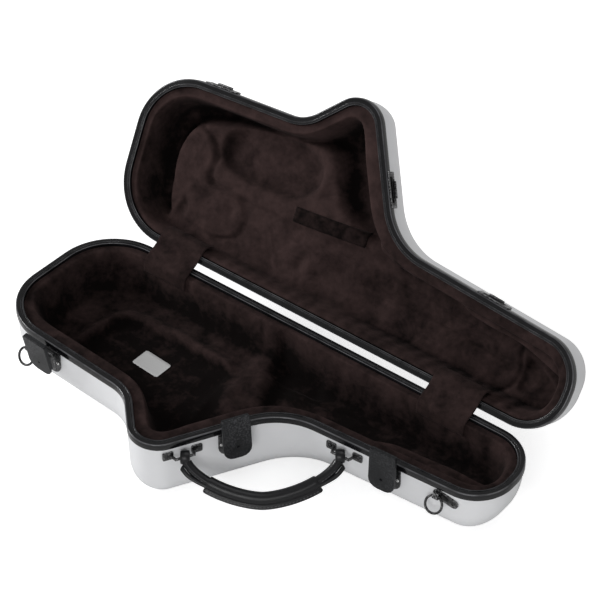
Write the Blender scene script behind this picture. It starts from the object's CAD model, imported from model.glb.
# %% [markdown]
# # An alto saxophone case, standing open
#
# The case has two moulded shells, black rims, a dark plush lining, three draw latches and a leather
# handle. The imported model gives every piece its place. This script lays finer surfaces and real finishes
# over it, and each of them rides on the body that carries the piece.

# %% Load the frame
import math

import bmesh
import bpy
import numpy as np
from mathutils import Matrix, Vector


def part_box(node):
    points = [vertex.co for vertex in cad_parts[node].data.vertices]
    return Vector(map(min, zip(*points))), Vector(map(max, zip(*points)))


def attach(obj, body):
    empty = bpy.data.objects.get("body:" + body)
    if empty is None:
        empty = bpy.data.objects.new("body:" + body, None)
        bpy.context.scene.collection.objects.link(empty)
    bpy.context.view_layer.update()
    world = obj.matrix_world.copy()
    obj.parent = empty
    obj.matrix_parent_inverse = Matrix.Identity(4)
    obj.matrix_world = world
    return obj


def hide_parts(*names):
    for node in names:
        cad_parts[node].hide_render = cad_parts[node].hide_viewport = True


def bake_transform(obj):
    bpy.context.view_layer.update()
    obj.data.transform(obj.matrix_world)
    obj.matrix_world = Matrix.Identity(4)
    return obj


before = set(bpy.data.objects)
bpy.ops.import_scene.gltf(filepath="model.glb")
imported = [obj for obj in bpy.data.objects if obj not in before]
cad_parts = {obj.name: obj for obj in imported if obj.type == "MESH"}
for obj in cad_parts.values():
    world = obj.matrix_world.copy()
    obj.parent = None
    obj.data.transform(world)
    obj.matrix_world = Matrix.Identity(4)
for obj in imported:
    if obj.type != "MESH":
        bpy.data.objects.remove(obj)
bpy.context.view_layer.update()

# %% [markdown]
# ## Sizes
#
# All lengths are metres. Plan positions are u, along the hinge line from the left end, and v, from the
# hinge side towards the front, because one outline shapes both the base and the closed lid. A depth is
# measured from the plane where the rims meet, down into the base or up into the lid.

# %% Driving sizes
MM = 0.001
LENGTH, WIDTH = 640 * MM, 262 * MM
BASE_DEPTH, LID_DEPTH = 88 * MM, 84 * MM
LID_OPEN = math.radians(128)
ORIGIN_U, ORIGIN_V = 0.42 * LENGTH, 0.345 * WIDTH
HINGE_SETBACK = 3.8 * MM
GAP, SOFT_GAP = 0.3 * MM, 0.5 * MM
BAND_WALL, BAND_HEIGHT, RIM_WEB = 2 * MM, 9 * MM, 3 * MM
SHELL_WALL = 2.5 * MM
RIM_LEG, RIM_LEG_HEIGHT = 3.9 * MM, 8 * MM
LEG_IN = BAND_WALL + GAP + SHELL_WALL + GAP
BESIDE_LEG = LEG_IN + RIM_LEG + SOFT_GAP
MERGE_DISTANCE = 0.01 * MM

# Edges of the outline that carry something, counted from the left end
BELL_FRONT, HANDLE_FLANK, NECK_FRONT, BACK = 1, 3, 4, 6

# %% [markdown]
# ## Rounded corners
#
# The rim follows the horn: a wide end for the bell, a bow that sticks out in the middle and a narrow end
# for the neck. Seven corners and their radii describe it. A rounded corner could be left to a bevel, but
# working it out keeps the same number of points on every loop, so loops can be joined into walls.

# %% Rounding a closed outline


def rounded(corners, radii, arc_steps=6, edge_steps=0):
    """Closed outlines (..., point, xy). Each corner gives way to an arc that touches both its edges:
    the arc's centre lies on the corner's bisector, radius / sin(half angle) away. Straight runs between
    arcs are divided evenly."""
    back = np.roll(corners, 1, axis=-2) - corners
    ahead = np.roll(corners, -1, axis=-2) - corners
    back_length = np.linalg.norm(back, axis=-1, keepdims=True)
    ahead_length = np.linalg.norm(ahead, axis=-1, keepdims=True)
    back, ahead = back / back_length, ahead / ahead_length
    turn = np.sign(back[..., 0] * ahead[..., 1] - back[..., 1] * ahead[..., 0])
    half = np.arccos((back * ahead).sum(axis=-1)) / 2
    room = np.minimum(back_length, ahead_length)[..., 0] / 2 * np.tan(half)
    radius = np.minimum(radii, room)
    bisector = back + ahead
    bisector /= np.linalg.norm(bisector, axis=-1, keepdims=True)
    centre = corners + bisector * (radius / np.sin(half))[..., None]
    first = corners + back * (radius / np.tan(half))[..., None] - centre
    angle = (-turn * (math.pi - 2 * half))[..., None] * np.linspace(0, 1, arc_steps)
    cos, sin = np.cos(angle), np.sin(angle)
    x, y = first[..., 0, None], first[..., 1, None]
    arcs = centre[..., None, :] + np.stack([x * cos - y * sin, x * sin + y * cos], axis=-1)
    share = (np.arange(1, edge_steps + 1) / (edge_steps + 1))[:, None]
    start, end = arcs[..., -1:, :], np.roll(arcs[..., :1, :], -1, axis=-3)
    runs = start * (1 - share) + end * share
    whole = np.concatenate([arcs, runs], axis=-2)
    return whole.reshape(*corners.shape[:-2], -1, 2)


# %% [markdown]
# ## The outline and its nested loops
#
# Moving every edge inwards by its own amount, and rounding the corners again, gives a family of nested
# loops. They are all that the shells and rims need. Scaling one curve would make the walls uneven.

# %% Nested loops
CORNERS = np.array([
    (0.020, 0.000), (-0.015, 0.724), (0.316, 0.794), (0.4255, 1.087), (0.5756, 0.481), (1.0, 0.4205),
    (1.0, 0.0),
]) * (LENGTH, WIDTH)
RADII = np.array([78, 69, 48, 36, 78, 50, 59]) * MM
EDGES = len(CORNERS)
SMALLEST_RADIUS = 10 * MM
ARC_STEPS, EDGE_STEPS = 22, 26
ALONG = np.roll(CORNERS, -1, axis=0) - CORNERS
ALONG /= np.linalg.norm(ALONG, axis=1, keepdims=True)
INWARD = np.stack([ALONG[:, 1], -ALONG[:, 0]], axis=1)
BEFORE = np.roll(ALONG, 1, axis=0)
CORNER_TURN = np.sign(BEFORE[:, 1] * ALONG[:, 0] - BEFORE[:, 0] * ALONG[:, 1])
SHIFT = np.linalg.inv(np.stack([np.roll(INWARD, 1, axis=0), INWARD], axis=1))


def nested_loops(insets):
    """Loops (level, point, uv): each corner moves to where its two shifted edges meet."""
    insets = np.asarray(insets, float) * np.ones((1, EDGES))
    pairs = np.stack([np.roll(insets, 1, axis=1), insets], axis=2)
    corners = CORNERS + np.einsum("cij,lcj->lci", SHIFT, pairs)
    radii = np.maximum(RADII - CORNER_TURN * pairs.mean(axis=2), SMALLEST_RADIUS)
    return rounded(corners, radii, ARC_STEPS, EDGE_STEPS)


def opened(points):
    """Points of the closed lid turned about the hinge line to where the lid stands open."""
    centre = np.array([0, ORIGIN_V + HINGE_SETBACK, BASE_DEPTH + GAP / 2])
    cos, sin = math.cos(LID_OPEN), math.sin(LID_OPEN)
    x, y, z = np.moveaxis(points - centre, -1, 0)
    return np.stack([x, y * cos + z * sin, z * cos - y * sin], axis=-1) + centre


def opened_way(way):
    """A direction of the closed lid as it points where the lid stands open."""
    return opened(np.array(way, float)) - opened(np.zeros(3))


def placed(plan, depth, lid):
    """Plan points (..., uv) at their depths as points of the frame."""
    height = BASE_DEPTH + (GAP + depth if lid else -depth) + 0 * plan[..., 0]
    points = np.stack([plan[..., 0] - ORIGIN_U, ORIGIN_V - plan[..., 1], height], axis=-1)
    return opened(points) if lid else points


print("points in a loop:", nested_loops([[0]]).shape[1])

# %% [markdown]
# ## From arrays to meshes
#
# Every new piece is a grid of points, with rows along one parameter and columns along the other. Both can
# close on themselves. An open end is closed with one flat face or drawn together to a point. The normals
# are then made to face outwards, which matters for shading, for bumps and for export.

# %% Mesh helpers
materials = {}
pieces_made = []
PLAIN_TONE = 0.42


def grid_faces(rows, columns, close_rows, close_columns):
    """Corner numbers of the quads between neighbouring rows and columns, wrapping where asked."""
    row = np.arange(rows if close_rows else rows - 1)[:, None]
    column = np.arange(columns if close_columns else columns - 1)[None, :]
    after_row, after_column = (row + 1) % rows, (column + 1) % columns
    return np.stack([
        row * columns + column, row * columns + after_column,
        after_row * columns + after_column, after_row * columns + column,
    ], axis=-1).reshape(-1, 4)


def full_turn(count):
    """Angles that divide a full turn evenly."""
    return np.linspace(0, 2 * math.pi, count, endpoint=False)


def surface(name, grid, close_rows=False, close_columns=True, caps=True, sharp=40, tone=None,
            tone_name="pile_tone"):
    """An object from a grid (row, column, xyz). Caps close the first and the last row with a face. Edges
    are sharp past an angle in degrees, and a tone for each point is kept as a named attribute."""
    rows, columns = grid.shape[:2]
    faces = grid_faces(rows, columns, close_rows, close_columns).tolist()
    if caps and not close_rows:
        last = (rows - 1) * columns
        faces += [list(range(columns))[::-1], list(range(last, last + columns))]
    return make_object(name, grid.reshape(-1, 3), faces, sharp, tone, tone_name)


def make_object(name, points, faces, sharp=40, tone=None, tone_name="pile_tone"):
    """A mesh object with merged doubles, outward normals and edges sharp past an angle in degrees."""
    mesh = bpy.data.meshes.new(name)
    mesh.from_pydata(points.tolist(), [], faces)
    if tone is not None:
        set_tone(mesh, np.asarray(tone, float).ravel(), tone_name)
    tidy_mesh(mesh)
    mesh.shade_smooth()
    mesh.set_sharp_from_angle(angle=math.radians(sharp))
    piece = bpy.data.objects.new(name, mesh)
    bpy.context.scene.collection.objects.link(piece)
    return piece


def set_tone(mesh, values, name="pile_tone"):
    """Writes a value for each point, as an attribute that a finish reads by its name."""
    mesh.attributes.new(name, "FLOAT", "POINT").data.foreach_set("value", values)


def tidy_mesh(mesh):
    """Merges points closer than a hundredth of a millimetre and turns closed shapes' faces outwards."""
    work = bmesh.new()
    work.from_mesh(mesh)
    bmesh.ops.remove_doubles(work, verts=work.verts, dist=MERGE_DISTANCE)
    bmesh.ops.recalc_face_normals(work, faces=work.faces)
    if work.calc_volume(signed=True) < 0:
        bmesh.ops.reverse_faces(work, faces=work.faces)
    work.to_mesh(mesh)
    work.free()


def finish_piece(piece, finish, body, slot, *nodes):
    """Gives a piece its finish and the body that carries it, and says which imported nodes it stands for."""
    piece.data.materials.clear()
    piece.data.materials.append(materials[finish])
    if finish == "plush" and "pile_tone" not in piece.data.attributes:
        set_tone(piece.data, np.full(len(piece.data.vertices), PLAIN_TONE))
    if nodes:
        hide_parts(*nodes)
    if body:
        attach(piece, body)
    pieces_made.append(piece.name)
    return piece


# %% [markdown]
# ## Camera, floor and light
#
# A long lens far away gives the flat look of a product photograph. The floor adds a little white for the
# camera only, so the background is white while the lamps stay at a level where colours look as written.

# %% Camera
CAMERA_AZIMUTH, CAMERA_ELEVATION = math.radians(36.8), math.radians(43.6)
CAMERA_TARGET = Vector((0.0052, 0.1214, 0.088))
CAMERA_DISTANCE, CAMERA_LENS, CAMERA_REACH = 5.275, 273.2, 60

camera = bpy.data.objects.new("camera", bpy.data.cameras.new("camera"))
bpy.context.scene.collection.objects.link(camera)
back = Vector((
    math.sin(CAMERA_AZIMUTH) * math.cos(CAMERA_ELEVATION),
    -math.cos(CAMERA_AZIMUTH) * math.cos(CAMERA_ELEVATION),
    math.sin(CAMERA_ELEVATION),
))
camera.location = CAMERA_TARGET + back * CAMERA_DISTANCE
camera.rotation_euler = back.to_track_quat("Z", "Y").to_euler()
camera.data.lens = CAMERA_LENS
camera.data.clip_end = CAMERA_REACH
bpy.context.scene.camera = camera
bpy.context.scene.view_settings.view_transform = "Standard"
print("camera:", [round(x, 3) for x in camera.location])

# %% Node helpers


def add(tree, kind, inputs=None, **settings):
    """A node with its settings, and its inputs linked where a socket is given and set where a value is."""
    made = tree.nodes.new(kind)
    for key, value in settings.items():
        setattr(made, key, value)
    for key, value in (inputs or {}).items():
        if isinstance(value, bpy.types.NodeSocket):
            tree.links.new(value, made.inputs[key])
        else:
            made.inputs[key].default_value = value
    return made


def mapped(tree, value, low, high, to_low=0.0, to_high=1.0):
    """A value moved from one range to another and kept inside it."""
    node = add(tree, "ShaderNodeMapRange", {
        "Value": value, "From Min": low, "From Max": high, "To Min": to_low, "To Max": to_high,
    })
    return node.outputs["Result"]


def maths(tree, operation, first, second=0.0, third=0.0):
    """One Math node. Few operations use the third value."""
    return add(tree, "ShaderNodeMath", {0: first, 1: second, 2: third}, operation=operation).outputs[0]


def mixed(tree, factor, first, second):
    """A blend of two colours by a mask."""
    node = add(tree, "ShaderNodeMix", {"Factor": factor, 6: first, 7: second}, data_type="RGBA")
    return node.outputs[2]


def colour(red, green, blue):
    """A linear colour with full alpha."""
    return (red, green, blue, 1.0)


# %% Floor, world and lamps
FLOOR_SIZE, FLOOR_WHITE, FLOOR_ADDED = 40.0, 0.80, 0.62
WORLD_LIGHT, WORLD_SEEN = 0.38, 1.0
LAMP_AIM = Vector((0, 0, 0.1))

# Name, place, width and watts of each lamp
LAMPS = (
    ("key", (-2.7, -0.9, 1.5), 1.0, 66),
    ("fill", (1.5, -2.9, 1.5), 1.6, 45),
    ("top", (0.3, 0.7, 2.6), 1.6, 12),
)


def stage_material():
    """Matt white floor that gives the camera a little more, so unshaded floor is white."""
    made = bpy.data.materials.new("floor_white")
    made.use_nodes = True
    tree = made.node_tree
    tree.nodes.clear()
    path = add(tree, "ShaderNodeLightPath")
    added = maths(tree, "MULTIPLY", path.outputs["Is Camera Ray"], FLOOR_ADDED)
    glow = add(tree, "ShaderNodeEmission", {"Strength": added})
    matt = add(tree, "ShaderNodeBsdfDiffuse", {"Color": colour(FLOOR_WHITE, FLOOR_WHITE, FLOOR_WHITE)})
    both = add(tree, "ShaderNodeAddShader", {0: matt.outputs[0], 1: glow.outputs[0]})
    add(tree, "ShaderNodeOutputMaterial", {"Surface": both.outputs[0]})
    return made


floor_corners = [
    (x * FLOOR_SIZE / 2, y * FLOOR_SIZE / 2, 0) for x, y in ((-1, -1), (1, -1), (1, 1), (-1, 1))
]
floor_mesh = bpy.data.meshes.new("floor")
floor_mesh.from_pydata(floor_corners, [], [(0, 1, 2, 3)])
floor_mesh.materials.append(stage_material())
floor = bpy.data.objects.new("floor", floor_mesh)
bpy.context.scene.collection.objects.link(floor)

world = bpy.data.worlds.new("studio")
bpy.context.scene.world = world
world.use_nodes = True
sky = world.node_tree
sky.nodes.clear()
seen = add(sky, "ShaderNodeLightPath").outputs["Is Camera Ray"]
strength = mapped(sky, seen, 0.0, 1.0, WORLD_LIGHT, WORLD_SEEN)
background = add(sky, "ShaderNodeBackground", {"Color": colour(1, 1, 1), "Strength": strength})
add(sky, "ShaderNodeOutputWorld", {"Surface": background.outputs[0]})


def soft_lamp(name, place, width, watts):
    """A square area lamp aimed at the middle of the case."""
    data = bpy.data.lights.new(name, "AREA")
    data.size, data.energy = width, watts
    lamp = bpy.data.objects.new(name, data)
    bpy.context.scene.collection.objects.link(lamp)
    lamp.location = place
    lamp.rotation_euler = (Vector(place) - LAMP_AIM).to_track_quat("Z", "Y").to_euler()


for lamp_values in LAMPS:
    soft_lamp(*lamp_values)
print("lamps:", len(LAMPS))

# %% [markdown]
# ## Shared effects
#
# Plush, leather, plastic and paint all need unevenness at a real scale. Each effect is a node group made
# once, with its scale and strength as inputs, so a material only says how much it wants. Scales are in
# features per metre, because Object coordinates are metres here.

# %% Node groups
# The part of a noise's range that becomes a mask from 0 to 1
CLOUD_RANGE, TUFT_RANGE, SMUDGE_RANGE = (0.36, 0.66), (0.32, 0.70), (0.35, 0.70)
CREASE_RANGE, CONVEX_RANGE, BREAK_RANGE = (0.0, 0.32), (0.515, 0.60), (0.45, 0.62)

# How far grain cells drift from an even pattern, in metres and in features per metre
GRAIN_DRIFT, GRAIN_DRIFT_SCALE = 0.004, 160.0


def new_group(name, inputs, outputs):
    """An empty shader group with float inputs and outputs, and its two end nodes."""
    group = bpy.data.node_groups.new(name, "ShaderNodeTree")
    for label, value in inputs.items():
        socket = group.interface.new_socket(label, in_out="INPUT", socket_type="NodeSocketFloat")
        socket.default_value = value
    for label in outputs:
        group.interface.new_socket(label, in_out="OUTPUT", socket_type="NodeSocketFloat")
    start = add(group, "NodeGroupInput")
    return group, start


def noise_of(tree, scale, detail=3.0, roughness=0.55, vector=None, distortion=0.0):
    """Noise on Object coordinates, or on a vector that is given."""
    vector = vector or add(tree, "ShaderNodeTexCoord").outputs["Object"]
    node = add(tree, "ShaderNodeTexNoise", {
        "Vector": vector, "Scale": scale, "Detail": detail, "Roughness": roughness,
        "Distortion": distortion,
    })
    return node.outputs["Fac"]


def make_nap():
    """Brushed pile: broad clouds where the nap lies differently, tufts in them, and fine fibres."""
    group, start = new_group("brushed_nap", {"Cloud Scale": 22.0, "Fibre Scale": 1500.0}, ("Mask", "Height"))
    clouds = noise_of(group, start.outputs["Cloud Scale"], 5.0, 0.62, distortion=0.6)
    tufts = noise_of(group, maths(group, "MULTIPLY", start.outputs["Cloud Scale"], 4.5), 3.0, 0.6)
    fibres = noise_of(group, start.outputs["Fibre Scale"], 2.0, 0.7)
    tuft_part = maths(group, "MULTIPLY", mapped(group, tufts, *TUFT_RANGE), 0.38)
    mask = maths(group, "MULTIPLY_ADD", mapped(group, clouds, *CLOUD_RANGE), 0.62, tuft_part)
    height = maths(group, "MULTIPLY_ADD", fibres, 0.7, maths(group, "MULTIPLY", tufts, 0.5))
    add(group, "NodeGroupOutput", {"Mask": mask, "Height": height})
    return group


def make_grain():
    """Pebbled grain: rounded cells with creases between them, their size uneven."""
    group, start = new_group("pebbled_grain", {"Scale": 900.0, "Crease": 0.5}, ("Mask", "Height"))
    object_place = add(group, "ShaderNodeTexCoord").outputs["Object"]
    drift = add(group, "ShaderNodeTexNoise", {
        "Vector": object_place, "Scale": GRAIN_DRIFT_SCALE, "Detail": 2.0,
    })
    moved = add(group, "ShaderNodeVectorMath", {0: drift.outputs["Color"], 1: [GRAIN_DRIFT] * 3},
                operation="MULTIPLY")
    place = add(group, "ShaderNodeVectorMath", {0: object_place, 1: moved.outputs[0]}, operation="ADD")
    cells = add(group, "ShaderNodeTexVoronoi", {
        "Vector": place.outputs[0], "Scale": start.outputs["Scale"],
    }, feature="DISTANCE_TO_EDGE")
    edge = mapped(group, cells.outputs["Distance"], *CREASE_RANGE)
    creases = maths(group, "MULTIPLY", edge, start.outputs["Crease"])
    fine = noise_of(group, maths(group, "MULTIPLY", start.outputs["Scale"], 3.0), 2.0)
    height = maths(group, "MULTIPLY_ADD", fine, 0.25, creases)
    add(group, "NodeGroupOutput", {"Mask": edge, "Height": height})
    return group


def make_unevenness():
    """Moulded or painted skin: fine orange peel, and slow changes of gloss from handling."""
    inputs = {"Peel Scale": 700.0, "Smudge Scale": 28.0}
    group, start = new_group("skin_unevenness", inputs, ("Smudge", "Height"))
    peel = noise_of(group, start.outputs["Peel Scale"], 2.0, 0.5)
    smudge = mapped(group, noise_of(group, start.outputs["Smudge Scale"], 4.0, 0.6), *SMUDGE_RANGE)
    add(group, "NodeGroupOutput", {"Smudge": smudge, "Height": peel})
    return group


def make_edge_wear():
    """Bare edges: where the surface is most convex, broken up by noise."""
    group, start = new_group("edge_wear", {"Amount": 0.5, "Break Scale": 420.0}, ("Mask",))
    pointiness = add(group, "ShaderNodeNewGeometry").outputs["Pointiness"]
    convex = mapped(group, pointiness, *CONVEX_RANGE)
    breaks = mapped(group, noise_of(group, start.outputs["Break Scale"], 3.0), *BREAK_RANGE)
    mask = maths(group, "MULTIPLY", maths(group, "MULTIPLY", convex, breaks), start.outputs["Amount"])
    add(group, "NodeGroupOutput", {"Mask": mask})
    return group


groups = {
    "nap": make_nap(), "grain": make_grain(), "skin": make_unevenness(), "wear": make_edge_wear(),
}
print("node groups:", ", ".join(groups))

# %% Finishes


def new_material(name):
    """A material with a Principled shader, and its tree."""
    made = bpy.data.materials.new(name)
    made.use_nodes = True
    materials[name] = made
    return made.node_tree, made.node_tree.nodes["Principled BSDF"]


def use(tree, group, **inputs):
    """A group node with its inputs given by words, an underscore standing for a space."""
    return add(tree, "ShaderNodeGroup", {key.replace("_", " "): value for key, value in inputs.items()},
               node_tree=groups[group])


def wire(tree, shader, base=None, roughness=None, metallic=None, height=None, strength=0.3, reach=0.2 * MM):
    """Links what changes over the surface into the shader, with height through a Bump node."""
    for socket, source in (("Base Color", base), ("Roughness", roughness), ("Metallic", metallic)):
        if isinstance(source, bpy.types.NodeSocket):
            tree.links.new(source, shader.inputs[socket])
        elif source is not None:
            shader.inputs[socket].default_value = source
    if height is not None:
        bump = add(tree, "ShaderNodeBump", {"Height": height, "Strength": strength, "Distance": reach})
        tree.links.new(bump.outputs[0], shader.inputs["Normal"])


def with_skin(name, peel, smudge, dark, pale):
    """A material whose uneven skin varies between two colours: its tree, shader, skin and colour."""
    tree, shader = new_material(name)
    skin = use(tree, "skin", Peel_Scale=peel, Smudge_Scale=smudge)
    return tree, shader, skin, mixed(tree, skin.outputs["Smudge"], colour(*dark), colour(*pale))


def wire_skin(tree, shader, skin, base, gloss, strength, metallic=None):
    """Wires a colour with the skin's height, and a roughness that its smudges move between two values."""
    wire(tree, shader, base, mapped(tree, skin.outputs["Smudge"], 0, 1, *gloss), metallic,
         height=skin.outputs["Height"], strength=strength)


def make_shell_plastic():
    """Satin white moulding: a faint orange peel, gloss that varies with handling and a thin clear coat."""
    tree, shader, skin, base = with_skin(
        "shell_plastic", 420.0, 9.0, (0.66, 0.665, 0.68), (0.71, 0.715, 0.73))
    wire_skin(tree, shader, skin, base, (0.28, 0.38), 0.12)
    shader.inputs["Coat Weight"].default_value = 0.25
    shader.inputs["Coat Roughness"].default_value = 0.12


def make_rim_black():
    """Black anodised extrusion: a soft gloss, and corners that rubbing has polished paler. How near a point
    is to a corner comes from the profile, as an attribute."""
    tree, shader, skin, dark = with_skin(
        "rim_black", 900.0, 30.0, (0.003, 0.003, 0.0035), (0.007, 0.007, 0.008))
    corner = add(tree, "ShaderNodeAttribute", attribute_name="corner_polish").outputs["Fac"]
    rubbed = maths(tree, "MULTIPLY", corner, mapped(tree, noise_of(tree, 55.0, 3.0), 0.35, 0.60, 0.35, 1.0))
    wire_skin(tree, shader, skin, mixed(tree, rubbed, dark, colour(0.11, 0.11, 0.117)), (0.13, 0.21), 0.02)
    shader.inputs["Specular IOR Level"].default_value = 0.34


def make_plush():
    """Dark brown plush: clouds where the pile is brushed one way or the other, and fine fibres. A tone from
    the mesh says how light the pile is at a point."""
    tree, shader = new_material("plush")
    nap = use(tree, "nap", Cloud_Scale=33.0, Fibre_Scale=1700.0)
    tone = add(tree, "ShaderNodeAttribute", attribute_name="pile_tone").outputs["Fac"]
    brushed = maths(tree, "MULTIPLY_ADD", nap.outputs["Mask"], 0.60, maths(tree, "ADD", tone, -0.30))
    lay = mapped(tree, brushed, 0.0, 1.0)
    base = mixed(tree, lay, colour(0.0030, 0.0020, 0.0019), colour(0.045, 0.0275, 0.0262))
    wire(tree, shader, base, 0.95, height=nap.outputs["Height"], strength=0.55, reach=0.5 * MM)
    shader.inputs["Sheen Weight"].default_value = 0.03
    shader.inputs["Sheen Roughness"].default_value = 0.45
    shader.inputs["Sheen Tint"].default_value = colour(0.62, 0.48, 0.47)
    shader.inputs["Specular IOR Level"].default_value = 0.06


def make_painted_metal():
    """Black painted steel, with bare metal showing where edges rub."""
    tree, shader, skin, dark = with_skin(
        "painted_metal", 1500.0, 60.0, (0.005, 0.005, 0.0055), (0.012, 0.012, 0.013))
    bare = use(tree, "wear", Amount=0.9, Break_Scale=600.0).outputs["Mask"]
    base = mixed(tree, bare, dark, colour(0.50, 0.50, 0.51))
    wire_skin(tree, shader, skin, base, (0.20, 0.34), 0.15, mapped(tree, bare, 0, 1, 0.35, 1.0))


def make_cover_plastic():
    """Satin black lever: a finely eroded texture that scatters the light, and edges rubbed paler."""
    tree, shader, skin, dark = with_skin(
        "cover_plastic", 2200.0, 45.0, (0.0065, 0.007, 0.008), (0.011, 0.0115, 0.0125))
    rubbed = use(tree, "wear", Amount=0.35, Break_Scale=500.0).outputs["Mask"]
    wire_skin(tree, shader, skin, mixed(tree, rubbed, dark, colour(0.12, 0.12, 0.13)), (0.42, 0.55), 0.10)
    shader.inputs["Specular IOR Level"].default_value = 0.2


def make_bright_steel():
    """Bright steel with turned marks."""
    tree, shader, skin, base = with_skin(
        "bright_steel", 3000.0, 300.0, (0.50, 0.50, 0.50), (0.66, 0.66, 0.65))
    wire_skin(tree, shader, skin, base, (0.22, 0.36), 0.10, metallic=1.0)


def make_leather():
    """Black leather: pebbled grain with creases, and a polish where hands hold it."""
    tree, shader = new_material("leather")
    grain = use(tree, "grain", Scale=850.0, Crease=0.6)
    skin = use(tree, "skin", Peel_Scale=500.0, Smudge_Scale=40.0)
    base = mixed(tree, grain.outputs["Mask"], colour(0.003, 0.003, 0.0036), colour(0.008, 0.008, 0.0096))
    wire(tree, shader, base, mapped(tree, skin.outputs["Smudge"], 0, 1, 0.26, 0.40),
         height=grain.outputs["Height"], strength=0.30)
    shader.inputs["Specular IOR Level"].default_value = 0.3


def make_thread():
    """Waxed thread with the twist of its strands."""
    tree, shader = new_material("thread")
    twist = noise_of(tree, 2600.0, 2.0)
    base = mixed(tree, mapped(tree, twist, 0.3, 0.7), colour(0.045, 0.045, 0.050), colour(0.11, 0.11, 0.12))
    wire(tree, shader, base, 0.6, height=twist, strength=0.5)


def make_plate_metal():
    """A bare brushed plate: fine streaks along it and a soft sheen."""
    tree, shader = new_material("plate_metal")
    place = add(tree, "ShaderNodeMapping", {
        "Vector": add(tree, "ShaderNodeTexCoord").outputs["Object"],
        "Rotation": (0, 0, math.radians(-5)), "Scale": (60.0, 2400.0, 60.0),
    })
    streaks = noise_of(tree, 1.0, 3.0, 0.6, vector=place.outputs[0])
    base = mixed(tree, streaks, colour(0.48, 0.48, 0.48), colour(0.58, 0.58, 0.58))
    wire(tree, shader, base, mapped(tree, streaks, 0.2, 0.8, 0.30, 0.45), metallic=0.25,
         height=streaks, strength=0.08, reach=0.05 * MM)


for maker in (
    make_shell_plastic, make_rim_black, make_plush, make_painted_metal, make_cover_plastic,
    make_bright_steel, make_leather, make_thread, make_plate_metal,
):
    maker()
print("finishes:", ", ".join(materials))

# %% [markdown]
# ## The two shells
#
# Each shell is one moulding of even thickness. Its walls go straight for a while, and then round in to a
# flat bottom, less on the hinge side than at the ends. The wall is a quarter ellipse carried round the
# outline with its own height and reach on every edge. A bevelled box could not do that.

# %% Walls
BASE_STRAIGHT = np.array([0.11, 0.28, 0.51, 0.62, 0.28, 0.06, 0.75]) * BASE_DEPTH
BASE_ROUND_IN = np.array([0.68, 0.68, 0.34, 0.25, 0.62, 0.77, 0.11]) * BASE_DEPTH
LID_STRAIGHT = np.array([0.09, 0.12, 0.18, 0.12, 0.30, 0.10, 0.24]) * LID_DEPTH
LID_ROUND_IN = np.array([0.62, 0.65, 0.48, 0.57, 0.50, 0.65, 0.42]) * LID_DEPTH
SHELL_LEVELS = 36


def wall_insets(lid, depths, offset):
    """How far in each edge's wall is at depths below the band: straight, then a quarter ellipse."""
    full, drop, reach = (
        (LID_DEPTH, LID_STRAIGHT, LID_ROUND_IN) if lid else (BASE_DEPTH, BASE_STRAIGHT, BASE_ROUND_IN)
    )
    rise = (depths[:, None] - drop) / (full - BAND_HEIGHT - offset - drop)
    curve = 1 - np.sqrt(1 - np.clip(rise, 0, 1) ** 2)
    return BAND_WALL + GAP + offset + np.maximum(reach - offset, 0) * curve


def shell_side(lid, offset):
    """Loops down one side of the shell's wall, closer together towards the bottom."""
    full = LID_DEPTH if lid else BASE_DEPTH
    share = np.sin(np.linspace(0, math.pi / 2, SHELL_LEVELS))
    below = share * (full - BAND_HEIGHT - offset)
    depths = np.concatenate([[RIM_WEB + GAP], BAND_HEIGHT + below])
    insets = wall_insets(lid, np.concatenate([[0], below]), offset)
    return placed(nested_loops(insets), depths[:, None], lid)


for name, lid in (("base_shell", False), ("lid_shell", True)):
    sides = np.concatenate([shell_side(lid, 0)[::-1], shell_side(lid, SHELL_WALL)])
    shell = surface(name.replace("_", "_moulded_"), sides)
    finish_piece(shell, "shell_plastic", "lid" if lid else "base", "shell", name)
print("shell faces:", len(shell.data.polygons))

# %% [markdown]
# ## The rims
#
# A black extrusion caps each shell. It is one profile carried round the outline: a band outside, a web
# over the shell's edge and a leg inside. The lid's has a bead that fits a groove in the base's. Small
# rounds on every corner catch the light in long lines, which a sharp profile would not.

# %% Rim profiles
BEAD_SETBACK, BEAD_WIDTH, BEAD_HEIGHT, GROOVE_DEPTH = 5.9 * MM, 1.2 * MM, 1.1 * MM, 1.5 * MM
RIM_OUTER_ROUND, RIM_INNER_ROUND, RIM_SMALL_ROUND = 1.5 * MM, 0.9 * MM, 0.3 * MM
CORNER_FADE = (0.0, 0.6, 1.0, 0.6, 0.0)
OUTER_CORNER, INNER_CORNER = 1, 6


def rim_profile(lid):
    """The closed profile as (inset, depth) points, rounded at each corner by its own radius, and how
    polished each point is: most in the middle of the corners that can be touched."""
    bead = (BEAD_SETBACK, BEAD_SETBACK + BEAD_WIDTH)
    if lid:
        middle = [(bead[0], 0), (bead[0], -BEAD_HEIGHT), (bead[1], -BEAD_HEIGHT), (bead[1], 0)]
    else:
        low, high = bead[0] - GAP, bead[1] + GAP
        middle = [(low, 0), (low, GROOVE_DEPTH), (high, GROOVE_DEPTH), (high, 0)]
    inner = LEG_IN + RIM_LEG
    corners = [
        (0, BAND_HEIGHT), (0, 0), *middle, (inner, 0), (inner, RIM_LEG_HEIGHT), (LEG_IN, RIM_LEG_HEIGHT),
        (LEG_IN, RIM_WEB), (BAND_WALL, RIM_WEB), (BAND_WALL, BAND_HEIGHT),
    ]
    radii = np.full(len(corners), RIM_SMALL_ROUND)
    radii[OUTER_CORNER], radii[INNER_CORNER] = RIM_OUTER_ROUND, RIM_INNER_ROUND
    polish = np.zeros((len(corners), len(CORNER_FADE)))
    polish[OUTER_CORNER:INNER_CORNER + 1] = CORNER_FADE
    return rounded(np.array(corners, float), radii, len(CORNER_FADE)), polish.ravel()


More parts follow.
